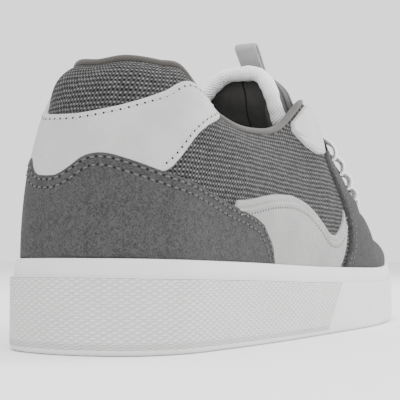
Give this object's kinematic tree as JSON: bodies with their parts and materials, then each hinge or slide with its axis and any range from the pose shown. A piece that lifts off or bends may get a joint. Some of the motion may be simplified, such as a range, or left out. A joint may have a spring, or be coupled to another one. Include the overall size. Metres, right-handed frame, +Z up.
{
  "type": "skateboarding shoe",
  "caption": "Low right skateboarding shoe with a cup sole, woven upper, suede and smooth leather overlays, a padded tongue with a pull loop, and flat laces",
  "frame": {"origin": "on the floor, under the middle of the sole's plan", "axes": "+X towards the toe, +Y towards the foot's inner (medial) side, +Z up"},
  "size_m": [0.3, 0.1066, 0.1295],
  "materials": {
    "sole": "off-white moulded rubber with a finely textured wall",
    "insole": "dark knitted footbed cover",
    "upper": "coarse grey two-tone woven mesh",
    "heel_counter": "dark grey suede, two rows of stitches",
    "quarter_panel": "light grey smooth leather, one row of stitches",
    "waist_overlay_lateral": "light grey smooth leather with an embossed border",
    "waist_overlay_medial": "light grey smooth leather with an embossed border",
    "eyestay_lateral": "light grey smooth leather",
    "eyestay_medial": "light grey smooth leather",
    "vamp": "dark grey suede",
    "collar_binding": "warm grey rolled fabric edge",
    "tongue": "grey ribbed knit over padding, dark lining",
    "tongue_edge": "white ribbed padded roll",
    "pull_loop": "light grey webbing tape",
    "laces": "flat white woven lace"
  },
  "bodies": {
    "root": {"sole": "sole", "insole": "insole", "upper": "upper", "heel_counter": "heel_counter", "quarter_panel": "quarter_panel", "waist_overlay_lateral": "waist_overlay_lateral", "waist_overlay_medial": "waist_overlay_medial", "eyestay_lateral": "eyestay_lateral", "eyestay_medial": "eyestay_medial", "vamp": "vamp", "collar_binding": "collar_binding", "tongue": "tongue", "tongue_edge": "tongue_edge", "pull_loop": "pull_loop", "laces": "laces"}
  },
  "joints": []
}
